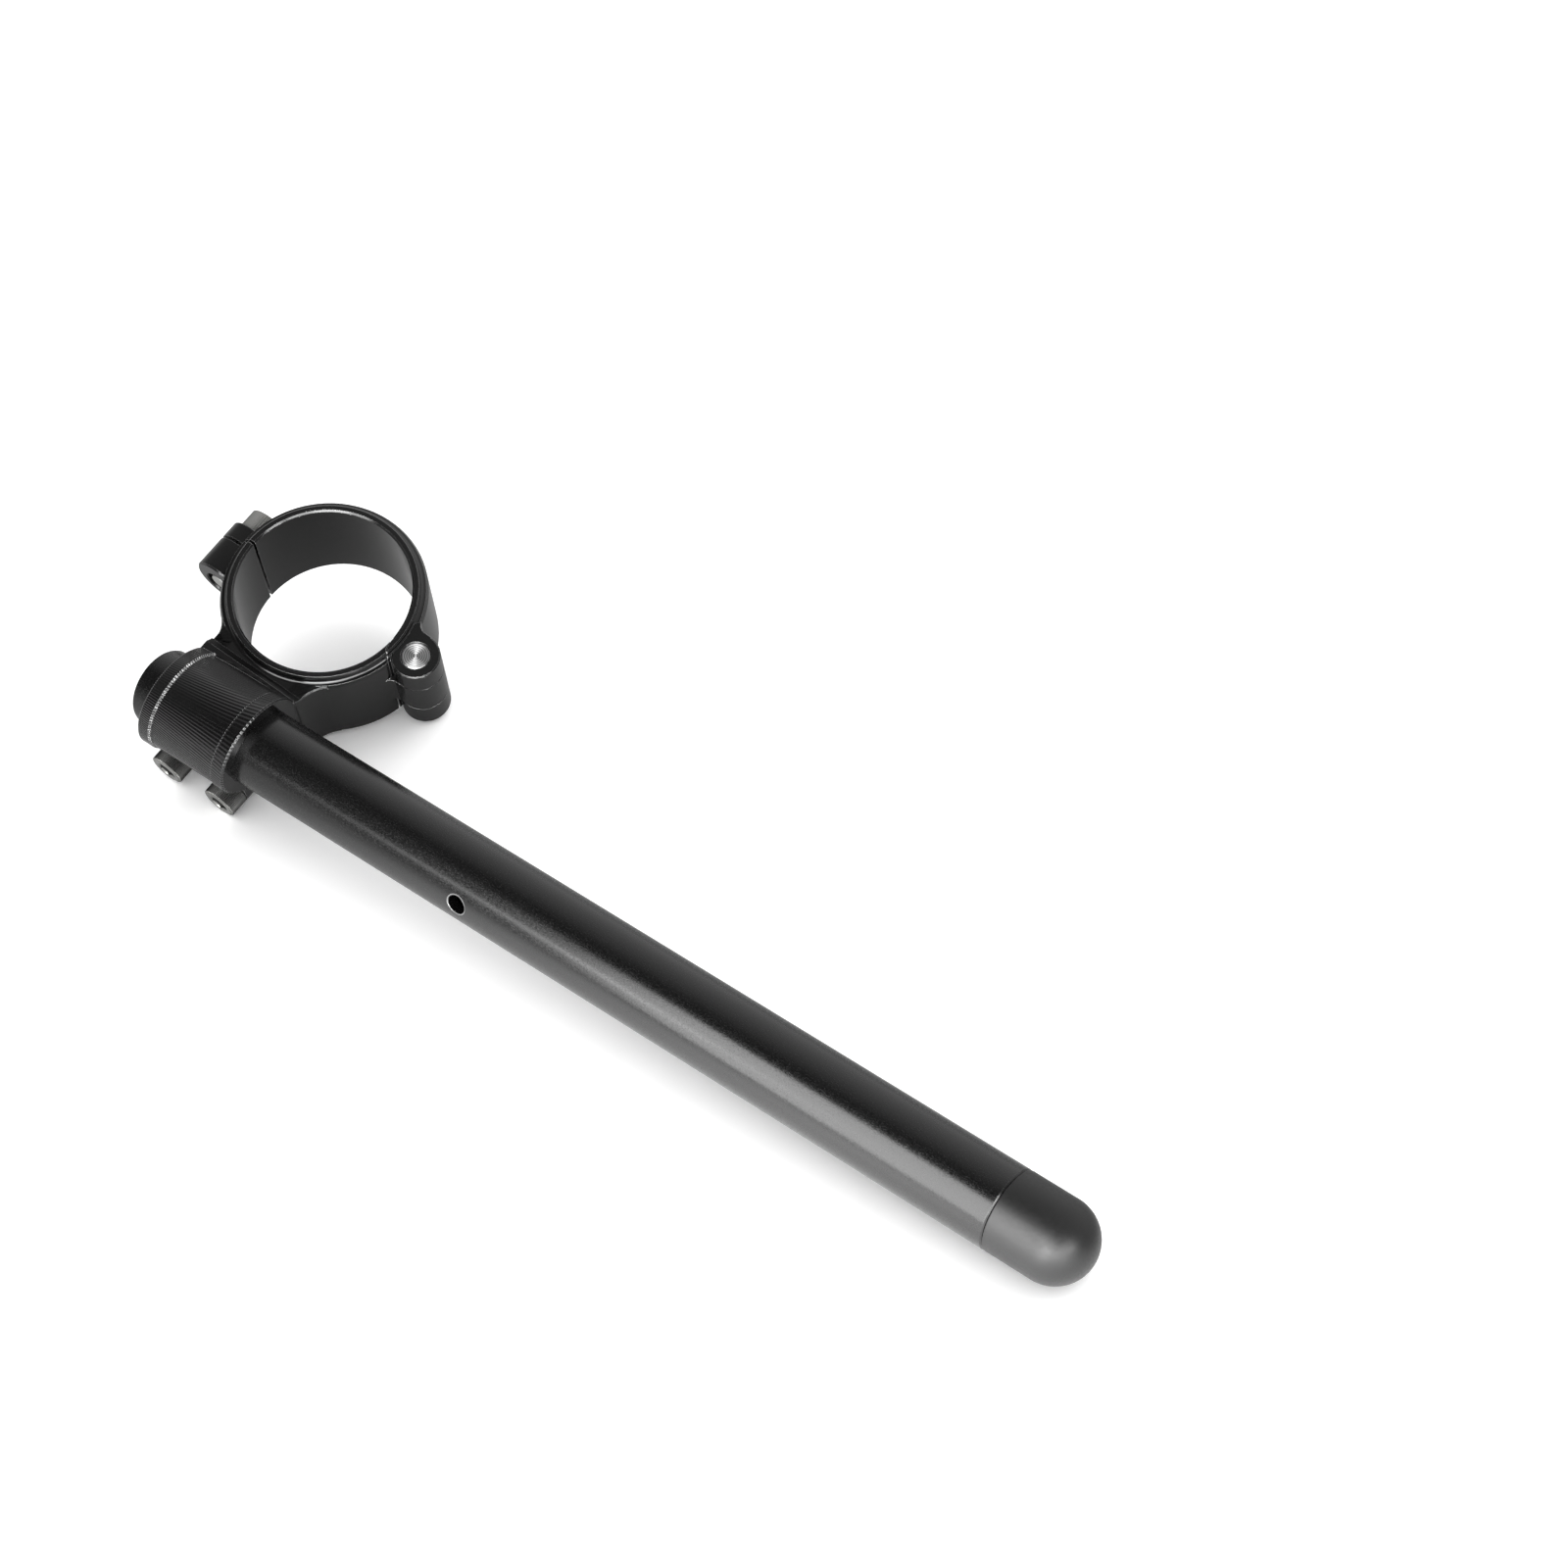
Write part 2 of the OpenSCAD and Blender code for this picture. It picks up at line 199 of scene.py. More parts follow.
def arc(a, b, r, start, end, steps=24):
    """Points on an arc round (a, b), with its angles in radians."""
    turns = [start + (end - start) * i / steps for i in range(steps + 1)]
    return [(a + r * cos(t), b + r * sin(t)) for t in turns]


def work(piece, kind, *tools):
    """Join, cut or intersect a piece with others, which are used up."""
    for tool in tools:
        pick(piece)
        step = piece.modifiers.new(kind.lower(), "BOOLEAN")
        step.operation, step.solver, step.object = kind, "EXACT", tool
        bpy.ops.object.modifier_apply(modifier=step.name)
        bpy.data.objects.remove(tool)
    return piece


def cut_flat(piece, point, normal):
    """Remove what lies beyond a plane, and close the cut."""
    pick(piece)
    bpy.ops.object.mode_set(mode="EDIT")
    bpy.ops.mesh.select_all(action="SELECT")
    bpy.ops.mesh.bisect(plane_co=point, plane_no=normal, use_fill=True, clear_outer=True)
    bpy.ops.object.mode_set(mode="OBJECT")
    return piece


def finish_piece(piece, material, body, node, angle=28):
    """Shade a piece, give it its finish and tell the frame what it stands for."""
    pick(piece)
    bpy.ops.object.mode_set(mode="EDIT")
    bpy.ops.mesh.select_all(action="SELECT")
    bpy.ops.mesh.remove_doubles(threshold=3e-6)
    bpy.ops.mesh.dissolve_degenerate(threshold=3e-6)
    bpy.ops.object.mode_set(mode="OBJECT")
    bpy.ops.object.shade_smooth_by_angle(angle=radians(angle))
    smooth = piece.modifiers.new("large_faces_lead", "WEIGHTED_NORMAL")
    smooth.keep_sharp = True
    bpy.ops.object.modifier_apply(modifier=smooth.name)
    piece.data.materials.clear()
    piece.data.materials.append(material)
    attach(piece, body)
    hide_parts(node)
    return piece


# ---------------------------------------------------------------- finishes
class Finish:
    """A metal or plastic finish, built node by node on the piece's own coordinates."""

    def __init__(self, name, colour, roughness, metallic=0.0, ior=1.5):
        self.material = bpy.data.materials.new(name)
        self.material.use_nodes = True
        self.tree = self.material.node_tree
        self.shader = self.tree.nodes["Principled BSDF"]
        self.shader.inputs["Base Color"].default_value = (*colour, 1)
        self.shader.inputs["Roughness"].default_value = roughness
        self.shader.inputs["Metallic"].default_value = metallic
        self.shader.inputs["IOR"].default_value = ior
        self.place = self.tree.nodes.new("ShaderNodeTexCoord").outputs["Object"]
        self.normal = self.colour = None

    def node(self, kind, **values):
        made = self.tree.nodes.new(kind)
        for key, value in values.items():
            setattr(made, key, value)
        return made

    def link(self, a, b):
        self.tree.links.new(a, b)

    def turned(self, scale, turn=(0, 0, 0), at=(0, 0, 0)):
        """The piece's coordinates, stretched and turned for a pattern."""
        mapping = self.node("ShaderNodeMapping")
        mapping.inputs["Location"].default_value = at
        mapping.inputs["Rotation"].default_value = turn
        mapping.inputs["Scale"].default_value = scale
        self.link(self.place, mapping.inputs["Vector"])
        return mapping.outputs["Vector"]

    def grain(self, vector, scale, detail=2.0, rough=0.5):
        noise = self.node("ShaderNodeTexNoise")
        noise.inputs["Scale"].default_value = scale
        noise.inputs["Detail"].default_value = detail
        noise.inputs["Roughness"].default_value = rough
        self.link(vector, noise.inputs["Vector"])
        return noise.outputs["Fac"]

    def spread(self, value, low, high, source=(0.3, 0.7)):
        """Bring a pattern's values between low and high."""
        span = self.node("ShaderNodeMapRange")
        span.inputs["From Min"].default_value, span.inputs["From Max"].default_value = source
        span.inputs["To Min"].default_value, span.inputs["To Max"].default_value = low, high
        self.link(value, span.inputs["Value"])
        return span.outputs["Result"]

    def math(self, operation, a, b=None, c=None):
        """One step of arithmetic on values or sockets."""
        step = self.node("ShaderNodeMath", operation=operation)
        for socket, value in zip(step.inputs, (a, b, c)):
            if isinstance(value, (int, float)):
                socket.default_value = value
            elif value is not None:
                self.link(value, socket)
        return step.outputs[0]

    def along(self, axis, start=(0, 0, 0)):
        """How far a point lies along an axis from a start."""
        dot = self.node("ShaderNodeVectorMath", operation="DOT_PRODUCT")
        self.link(self.place, dot.inputs[0])
        dot.inputs[1].default_value = axis
        return self.math("SUBTRACT", dot.outputs["Value"], Vector(axis).dot(Vector(start)))

    def colours(self, value, dark, light):
        mix = self.node("ShaderNodeMix", data_type="RGBA")
        for end, colour in (("A", dark), ("B", light)):
            if isinstance(colour, tuple):
                mix.inputs[end].default_value = (*colour, 1)
            else:
                self.link(colour, mix.inputs[end])
        self.link(value, mix.inputs["Factor"])
        self.colour = mix.outputs["Result"]
        self.link(self.colour, self.shader.inputs["Base Color"])

    def rough(self, value):
        self.link(value, self.shader.inputs["Roughness"])

    def soft_edges(self, radius):
        edge = self.node("ShaderNodeBevel", samples=6)
        edge.inputs["Radius"].default_value = radius
        self.normal = edge.outputs["Normal"]
        self.link(self.normal, self.shader.inputs["Normal"])

    def edge_mask(self, amount, source=(0.7, 0.93)):
        """Where the rounded edges turn away from the faces beside them."""
        dot = self.node("ShaderNodeVectorMath", operation="DOT_PRODUCT")
        self.link(self.normal, dot.inputs[0])
        self.link(self.node("ShaderNodeNewGeometry").outputs["Normal"], dot.inputs[1])
        return self.spread(dot.outputs["Value"], amount, 0, source)

    def bare(self, mask, metal):
        """Bare metal where a mask is bright."""
        self.colours(mask, self.colour, metal)
        self.link(mask, self.shader.inputs["Metallic"])

    def bump(self, height, depth, strength=1.0):
        bump = self.node("ShaderNodeBump")
        bump.inputs["Strength"].default_value = strength
        bump.inputs["Distance"].default_value = depth
        self.link(height, bump.inputs["Height"])
        if self.normal:
            self.link(self.normal, bump.inputs["Normal"])
        self.normal = bump.outputs["Normal"]
        self.link(self.normal, self.shader.inputs["Normal"])


def milled_black():
    """Black anodised clamp: cutter marks round the boss and bare metal on its edges."""
    f = Finish("milled_black", (0.006, 0.006, 0.006), 0.24, ior=1.52)
    cloud = f.grain(f.turned((60, 60, 60)), 3.0, 3.0)
    f.colours(cloud, (0.003, 0.003, 0.003), (0.006, 0.006, 0.006))
    marks = f.grain(f.turned((260, 2600, 2600), (0, 0, radians(28))), 1.0, 2.0)
    f.rough(f.spread(marks, 0.13, 0.2))
    f.soft_edges(0.25 * MM)
    worn = f.edge_mask(0.75)
    # cutter marks on the boss, nearly along the bar and slightly fanned
    x, a, b = f.along(bar_axis, bar_origin), f.along(Y, bar_origin), f.along(bar_top, bar_origin)
    turn = f.math("ARCTAN2", b, a)
    r = f.math("SQRT", f.math("ADD", f.math("MULTIPLY", a, a), f.math("MULTIPLY", b, b)))
    on_boss = f.math("LESS_THAN", f.math("ABSOLUTE", f.math("SUBTRACT", r, 14.9 * MM)), 0.5 * MM)
    round_way = f.math("MULTIPLY", turn, boss_r)
    fan = f.math("MULTIPLY", f.math("MULTIPLY", x, 18.0), f.math("SUBTRACT", round_way, radians(115) * boss_r))
    ridge = f.math("SINE", f.math("MULTIPLY", f.math("SUBTRACT", round_way, fan), 2 * pi / (0.85 * MM)))
    # ticks that the cutter left where the collars start
    chatter = f.math("SINE", f.math("MULTIPLY", turn, 110))
    tick = f.math("GREATER_THAN", chatter, 0)
    bands = []
    for at, half in ((boss_x0 + collar_w, 0.42 * MM), (boss_x1 - collar_w - 0.2 * MM, 0.07 * MM)):
        along_x = f.along(X, (at, 0, 0))
        bands.append(f.math("LESS_THAN", f.math("ABSOLUTE", along_x), half))
    bands = f.math("MULTIPLY", f.math("MAXIMUM", *bands), on_boss)
    f.bare(f.math("MAXIMUM", worn, f.math("MULTIPLY", f.math("MULTIPLY", bands, tick), 0.35)), (0.75, 0.75, 0.75))
    f.bump(marks, 0.004 * MM, 0.3)
    f.bump(f.math("MULTIPLY", ridge, on_boss), 0.045 * MM)
    f.bump(f.math("MULTIPLY", chatter, bands), 0.12 * MM)
    return f.material


def drawn_black():
    """Black anodised bar, drawn lengthwise and etched to a fine grain."""
    f = Finish("drawn_black", (0.006, 0.006, 0.006), 0.3, ior=1.5)
    fine = f.grain(f.turned((1500, 3000, 3000), (0, -bar_rise, 0)), 1.0, 2.0)
    f.rough(f.spread(fine, 0.17, 0.3))
    f.colours(fine, (0.002, 0.002, 0.002), (0.007, 0.007, 0.007))
    f.soft_edges(0.2 * MM)
    # the wire hole's countersink is bare metal
    out = Y * cos(wire_hole_turn) + bar_top * sin(wire_hole_turn)
    hole = bar_origin + bar_axis * wire_hole_at
    a, b = f.along(bar_axis, hole), f.along(bar_axis.cross(out), hole)
    r = f.math("SQRT", f.math("ADD", f.math("MULTIPLY", a, a), f.math("MULTIPLY", b, b)))
    sunk = f.math("LESS_THAN", f.math("ABSOLUTE", f.math("SUBTRACT", r, wire_hole_r + 0.2 * MM)), 0.15 * MM)
    seen = f.math("GREATER_THAN", f.along(out, hole), bar_r - 0.8 * MM)
    f.bare(f.math("MAXIMUM", f.edge_mask(0.7), f.math("MULTIPLY", f.math("MULTIPLY", sunk, seen), 0.5)),
           (0.6, 0.6, 0.6))
    f.bump(fine, 0.016 * MM, 0.8)
    return f.material


def plated_steel(name, out, side_colour_and_shade, dull, bright):
    """Zinc plated screws: duller in the knurl, bright on the head's face and rim; the side colour can also carry
    painted shade.
    """
    f = Finish(name, dull, 0.28, metallic=1.0)
    facing = f.node("ShaderNodeVectorMath", operation="DOT_PRODUCT")
    f.link(f.node("ShaderNodeTexCoord").outputs["Normal"], facing.inputs[0])
    facing.inputs[1].default_value = out
    face = f.spread(facing.outputs["Value"], 0, 1, (0.2, 0.5))
    mottle = f.grain(f.turned((500, 500, 500)), 1.0, 2.0)
    f.colours(mottle, dull, bright)
    f.colours(face, side_colour_and_shade, f.colour)
    f.rough(f.spread(face, 0.34, 0.22, (0, 1)))
    f.soft_edges(0.1 * MM)
    return f.material


def turned_steel():
    """Hinge pin: rings left by the lathe on its ends."""
    f = Finish("turned_steel", (0.7, 0.7, 0.7), 0.45, metallic=1.0)
    rings = f.node("ShaderNodeTexWave", wave_type="RINGS", rings_direction="Z")
    rings.inputs["Scale"].default_value = 520
    rings.inputs["Distortion"].default_value = 0.6
    f.link(f.turned((1, 1, 1), at=(-hinge_x, 0, 0)), rings.inputs["Vector"])
    f.colours(rings.outputs["Fac"], (0.25, 0.25, 0.25), (0.68, 0.68, 0.68))
    spin = f.node("ShaderNodeTangent", direction_type="RADIAL", axis="Z")
    f.link(spin.outputs["Tangent"], f.shader.inputs["Tangent"])
    f.shader.inputs["Anisotropic"].default_value = 0.9
    f.shader.inputs["Anisotropic Rotation"].default_value = 0.25
    f.soft_edges(0.15 * MM)
    return f.material


def matte_cap():
    """Moulded end cap with a dull, slightly uneven skin."""
    f = Finish("matte_cap", (0.004, 0.004, 0.004), 0.42, ior=1.5)
    skin = f.grain(f.turned((1500, 1500, 1500)), 1.0, 2.0)
    f.rough(f.spread(skin, 0.38, 0.48))
    f.bump(skin, 0.006 * MM, 0.4)
    return f.material


milled, drawn, turned_pin, cap_skin = milled_black(), drawn_black(), turned_steel(), matte_cap()
plated_bolt = plated_steel("plated_bolt", Y, (0.6, 0.6, 0.58), (0.62, 0.61, 0.58), (0.82, 0.81, 0.78))
# the pinch screws get a darker copy of the bolt's plating, with near-black sides: painted shade from the boss above
# them
plated_pinch_painted_shade = plated_steel("plated_pinch_screw_painted_shade", -Y, (0.1, 0.1, 0.097), (0.24, 0.24, 0.23), (0.46, 0.46, 0.44))


# ---------------------------------------------------------------- the clamp
def ring_blank(name):
    """The ring's outside with its lips, cove and shoulder; its bore is cut later."""
    cove_x = lip_x + 0.35 * MM + cove_r
    edge = 0.5 * MM
    outline = [(bore_r - 4 * MM, z_low), (lip_x + 0.6 * MM, z_low), (lip_x + 1.6 * MM, band_low),
               (band_r - edge, band_low), (band_r, band_low + edge), (band_r, band_top - shoulder_h)]
    outline += arc(cove_x, band_top + cove_r, cove_r, -pi / 2, -pi, 8)
    outline += [(lip_x, z_top), (bore_r - 4 * MM, z_top)]
    return lathe(name, outline)


def bore_cutter():
    """The fork bore and the chamfers at both its ends."""
    reach = 4 * MM
    return lathe("bore_cutter", [
        (0, z_low - reach), (bore_r + bore_chamfer + reach, z_low - reach),
        (bore_r, z_low + bore_chamfer), (bore_r, z_top - bore_chamfer),
        (bore_r + bore_chamfer + reach, z_top + reach), (0, z_top + reach)])


# how far a fillet's end is sunk into the ring, so that no sliver of it stands out
sunk = 0.01 * MM


def flank(name, d, rf, x_end, low, high, side):
    """Arm between the ring and a knuckle, with a fillet against the ring."""
    xc = sqrt((band_r - sunk + rf) ** 2 - (d + rf) ** 2)
    to_ring = -pi + atan2(d + rf, xc)
    outline = [(bore_r + MM, 0), (x_end, 0), (x_end, d)]
    outline += arc(xc, d + rf, rf, -pi / 2, to_ring, 16) + [(bore_r + MM, d)]
    return prism(name, [(a, side * b) for a, b in outline], "Z", low, high)


def pinch_place(side):
    """Seat of a pinch screw's head, on the lugs' outer face."""
    x = screw_mid_x + side * screw_pitch / 2
    return Vector((x, lug_y, bar_z + x * tan(bar_rise) - screw_drop / cos(bar_rise)))


def web_root(name, d, rf, side):
    """Root of the web on one side, with its fillet against the ring wall."""
    yc = sqrt((band_r - sunk + rf) ** 2 - (d + rf) ** 2)
    outline = [(d - 5 * MM, bore_r + 0.5 * MM), (d - 5 * MM, yc + MM), (d, yc + MM)]
    outline += arc(d + rf, yc, rf, pi, pi + atan2(yc, d + rf), 20)
    root = prism(name, [(side * a, -b) for a, b in outline], "Z", band_low, band_top)
    return bevel_rim(root, lambda n, c: n.z > 0.99, 0.4 * MM)


def web():
    """Web and lugs under the boss: a plan and a side outline, intersected."""
    foot, near_bore, left = bar_y + boss_r, -20 * MM, boss_x0 + web_in
    plan = [(boss_x1, lug_y), (boss_x1, near_bore), (left, near_bore), (left, foot), (boss_x0, foot), (boss_x0, lug_y)]

    def under(x):
        return bar_z + x * tan(bar_rise) - screw_drop / cos(bar_rise)
    xr, xl = boss_x1 - lug_round, boss_x0 + lug_round
    slope, wide = -pi / 2 + bar_rise, 2 * MM
    side = [(boss_x0 - wide, band_top), (boss_x1 + wide, band_top), (boss_x1 + wide, under(xr)), (boss_x1, under(xr))]
    side += arc(xr, under(xr), lug_round, 0, slope)
    side += arc(xl, under(xl), lug_round, slope, -pi) + [(boss_x0 - wide, under(xl))]
    body = prism("web", plan, "Z", -30 * MM, 30 * MM)
    return work(body, "INTERSECT", prism("web_side", side, "Y", lug_y - MM, -15 * MM))


def ledge():
    """Low ledge along the foot of the boss, with its milled run-out."""
    foot = bar_y + boss_r
    top = band_top + 1.5 * MM
    outline = [(foot - 3.8 * MM, band_top - MM), (foot - 3.8 * MM, top), (foot + 0.2 * MM, top),
               (foot + 1.2 * MM, band_top + 0.6 * MM), (foot + 2.1 * MM, band_top), (foot + 2.1 * MM, band_top - MM)]
    return prism("ledge", outline, "X", boss_x0, boss_x1)


def boss_part(name, x0, x1, r, edge0, edge1):
    """One length of the boss, cut square to X and bevelled at its ends."""
    drum = rod(name, bar_origin - bar_axis * 32 * MM, bar_axis, r, 64 * MM)
    cut_flat(drum, (x1, 0, 0), X)
    cut_flat(drum, (x0, 0, 0), -X)
    if edge0:
        bevel_rim(drum, lambda n, c: n.x < -0.999, edge0)
    if edge1:
        bevel_rim(drum, lambda n, c: n.x > 0.999, edge1)
    return drum


def clamp_body():
    body = ring_blank("clamp_body_shown")
    cut_flat(body, (0, -split_gap / 2, 0), Y)
    knuckle = rod("knuckle", (hinge_x, 0, mid_low), Z, knuckle_r, mid_top - mid_low, 0.25 * MM, 0.25 * MM)
    step = 0.35 * MM
    work(body, "UNION",
         flank("knuckle_arm", knuckle_r, knuckle_fillet, hinge_x, mid_low, mid_top, -1), knuckle,
         rod("fixed_ear", (ear_x, fixed_ear_end, ear_z), Y, ear_r, -fixed_ear_end - split_gap / 2, 0.5 * MM, 0.15 * MM),
         web(), web_root("grip_side_root", boss_x1, 11.5 * MM, 1),
         web_root("rider_side_root", -boss_x0 - web_in, 7 * MM, -1), ledge(),
         boss_part("boss_waist", boss_x0 + collar_w - MM, boss_x1 - collar_w + MM, waist_r, 0, 0),
         boss_part("back_collar", boss_x0, boss_x0 + collar_w, boss_r, 0.5 * MM, step),
         boss_part("front_collar", boss_x1 - collar_w, boss_x1, boss_r, step, 0.5 * MM))
    far = 40 * MM
    cutters = [
        bore_cutter(),
        rod("upper_knuckle_room", (hinge_x, 0, mid_top), Z, ring_end_r + relief_gap, far),
        rod("lower_knuckle_room", (hinge_x, 0, mid_low - far), Z, ring_end_r + relief_gap, far),
        rod("pin_hole", (hinge_x, 0, mid_low - MM), Z, pin_r, mid_top - mid_low + 2 * MM),
        rod("bolt_hole", (ear_x, fixed_ear_end - MM, bolt_z), Y, bolt_thread_r + 0.1 * MM, far / 3),
        lathe("bolt_hole_edge", [(0, -MM), (bolt_thread_r + 1.5 * MM, -MM), (bolt_thread_r, 0.5 * MM),
                                 (0, 0.5 * MM)], (ear_x, fixed_ear_end, bolt_z), Y, 128),
        lathe("bar_seat", [(0, -far), (bar_r + MM, -far), (bar_r + 0.05 * MM, -17.5 * MM),
                           (bar_r + 0.05 * MM, far), (0, far)], bar_origin, bar_axis),
        block("pinch_slot", (boss_x0 - MM, bar_y + 0.6 * MM - slot_w / 2, -far),
              (boss_x1 + MM, bar_y + 0.6 * MM + slot_w / 2, bar_z - bar_r / 2))]
    for side in (-1, 1):
        seat = pinch_place(side)
        cutters += [
            rod("head_room", seat - Y * far, Y, screw_head_r + relief_gap, far, sides=128),
            rod("plain_hole", seat - Y * MM, Y, screw_thread_r + 0.25 * MM, 11 * MM, sides=96),
            rod("screw_thread", seat + Y * 9.4 * MM, Y, screw_thread_r, 12.6 * MM, sides=96)]
    work(body, "DIFFERENCE", *cutters)
    return finish_piece(body, milled, "body", "clamp_body")


def clamp_half():
    half = ring_blank("clamp_half_shown")
    cut_flat(half, (0, split_gap / 2, 0), -Y)
    for z in (5.05 * MM, -7.35 * MM):
        groove = lathe("groove", [(band_r - 0.2 * MM, z - 0.7 * MM), (band_r + 3 * MM, z - 0.7 * MM),
                                  (band_r + 3 * MM, z + 0.7 * MM), (band_r - 0.2 * MM, z + 0.7 * MM)])
        groove.location.x = 0.4 * MM
        settle(groove)
        cut_flat(groove, (12 * MM, 0, 0), X)
        work(half, "DIFFERENCE", groove)
    ring_end = work(ring_blank("ring_end"), "INTERSECT",
                    rod("ring_end_round", (hinge_x, 0, 2 * z_low), Z, ring_end_r, 4 * z_top))
    work(half, "UNION", ring_end,
         flank("knuckle_arm", knuckle_r, knuckle_fillet, hinge_x, band_low, knuckle_top, 1),
         rod("knuckle", (hinge_x, 0, band_low), Z, knuckle_r, knuckle_top - band_low, 0.35 * MM, 0.35 * MM),
         rod("hinged_ear", (ear_x, split_gap / 2, ear_z), Y, ear_r, hinged_ear_end - split_gap / 2, 0.15 * MM, 0.3 * MM))
    far = 40 * MM
    work(half, "DIFFERENCE",
         bore_cutter(),
         rod("middle_knuckle_room", (hinge_x, 0, mid_low - knuckle_gap), Z, knuckle_r + relief_gap,
             mid_top - mid_low + 2 * knuckle_gap),
         block("middle_arm_room", (0, -far, mid_low - knuckle_gap), (hinge_x, split_gap / 2, mid_top + knuckle_gap)),
         lathe("pin_hole", [(0, -far), (pin_r + pin_run, -far), (pin_r + pin_run, knuckle_top - 0.25 * MM),
                            (pin_r + pin_run + MM, knuckle_top + 0.75 * MM), (0, knuckle_top + 0.75 * MM)],
               (hinge_x, 0, 0), Z, 128),
         rod("bolt_hole", (ear_x, -MM, bolt_z), Y, bolt_thread_r + 0.5 * MM, 10 * MM, sides=96),
         rod("head_seat", (ear_x, bolt_seat_y, bolt_z), Y, bolt_head_r + 0.5 * MM, 14 * MM))
    return finish_piece(half, milled, "half", "clamp_half")


def hinge_pin():
    low = band_low + 0.2 * MM
    pin = rod("hinge_pin_shown", (hinge_x, 0, low), Z, pin_r, knuckle_top - low, 0.2 * MM, 0.2 * MM, 128)
    return finish_piece(pin, turned_pin, "body", "hinge_pin")


# ---------------------------------------------------------------- screws
def socket_screw(name, thread_r, pitch, length, head_r, key, key_depth, foot, axis):
    """Socket head screw with a knurled head; its head's seat is at the foot, its tip along the axis."""
    ridges = 56
    head_h = 2 * thread_r
    deselect()
    bpy.ops.mesh.primitive_cylinder_add(vertices=2 * ridges, radius=head_r, depth=head_h,
                                        location=(0, 0, -head_h / 2))
    head = bpy.context.object
    head.name = name
    settle(head)
    for v in head.data.vertices:
        if round(atan2(v.co.y, v.co.x) / (pi / ridges)) % 2:
            v.co.x *= 0.95
            v.co.y *= 0.95
    for away, rim in ((-1, 0.5 * MM), (1, 0.25 * MM)):
        bpy.ops.object.mode_set(mode="EDIT")
        bpy.ops.mesh.select_mode(type="FACE")
        bpy.ops.mesh.select_all(action="DESELECT")
        bpy.ops.object.mode_set(mode="OBJECT")
        for face in head.data.polygons:
            face.select = away * face.normal.z > 0.9 and len(face.vertices) > 20
        bpy.ops.object.mode_set(mode="EDIT")
        bpy.ops.transform.translate(value=(0, 0, -away * 0.6 * rim))
        bpy.ops.mesh.inset(thickness=rim, depth=0.6 * rim)
        bpy.ops.object.mode_set(mode="OBJECT")
    hex_r = key / sqrt(3)
    socket = rod("hex_key_hole", (0, 0, -head_h + key_depth), -Z, hex_r, key_depth + MM, sides=6)
    lead = lathe("socket_lead_in", [(0, -head_h - MM), (hex_r + 1.1 * MM, -head_h - MM),
                                    (hex_r - 0.3 * MM, -head_h + 0.4 * MM), (0, -head_h + 0.4 * MM)], steps=96)
    work(head, "DIFFERENCE", socket, lead)
    root_r = thread_r - 0.6 * pitch
    outline = [(0, -0.2 * MM), (root_r, -0.2 * MM), (root_r, 0.4 * pitch)]
    turns = int((length - pitch) / pitch)
    for i in range(turns):
        start = (i + 0.4) * pitch
        outline += [(thread_r - 0.04 * MM, start + 0.42 * pitch), (thread_r - 0.04 * MM, start + 0.54 * pitch),
                    (root_r, start + pitch)]
    outline += [(root_r - 0.4 * MM, length), (0, length)]
    work(head, "UNION", lathe("thread", outline, steps=64))
    head.rotation_euler = turn_to(axis)
    head.location = foot
    return settle(head)


def clamp_bolt():
    bolt = socket_screw("clamp_bolt_shown", bolt_thread_r, 1.25 * MM, bolt_l, bolt_head_r, 6 * MM, 4 * MM,
                        (ear_x, bolt_seat_y, bolt_z), -Y)
    return finish_piece(bolt, plated_bolt, "bolt", "clamp_bolt")


def pinch_screws():
    for side, name in ((-1, "pinch_screw_inner"), (1, "pinch_screw_outer")):
        screw = socket_screw(name + "_shown", screw_thread_r, 1.0 * MM, screw_l, screw_head_r, 5 * MM, 3 * MM,
                             pinch_place(side), Y)
        finish_piece(screw, plated_pinch_painted_shade, "body", name)


# ---------------------------------------------------------------- bar and cap
def bar_tube():
    """The bar, turned from its outline, with the wire hole drilled through its wall."""
    near, past = wire_hole_at - 5 * MM, wire_hole_at + 5 * MM
    tube = lathe("bar_tube_shown", [
        (bar_bore_r + 0.4 * MM, bar_back), (bar_r - 0.9 * MM, bar_back), (bar_r - 0.25 * MM, bar_back + 0.45 * MM),
        (bar_r, bar_back + MM), (bar_r, -8 * MM), (bar_r, 20 * MM), (bar_r, near), (bar_r, past), (bar_r, 180 * MM),
        (bar_r, bar_front - 0.5 * MM), (bar_r - 0.4 * MM, bar_front),
        (plug_r, bar_front), (plug_r, bar_front - plug_l), (bar_bore_r, bar_front - plug_l),
        (bar_bore_r, past), (bar_bore_r, near), (bar_bore_r, bar_back + 0.4 * MM)], bar_origin, bar_axis)
    out = Y * cos(wire_hole_turn) + bar_top * sin(wire_hole_turn)
    place = bar_origin + bar_axis * wire_hole_at
    work(tube, "DIFFERENCE",
         rod("wire_hole", place, out, wire_hole_r, 16 * MM, sides=96),
         lathe("wire_hole_edge", [(0, 0), (wire_hole_r - 0.1 * MM, 0), (wire_hole_r - 0.1 * MM, 0.2 * MM),
                                  (wire_hole_r + 2 * MM, 2.3 * MM), (0, 2.3 * MM)],
               place + out * (bar_r - 0.55 * MM), out, 96))
    return finish_piece(tube, drawn, "body", "bar_tube")


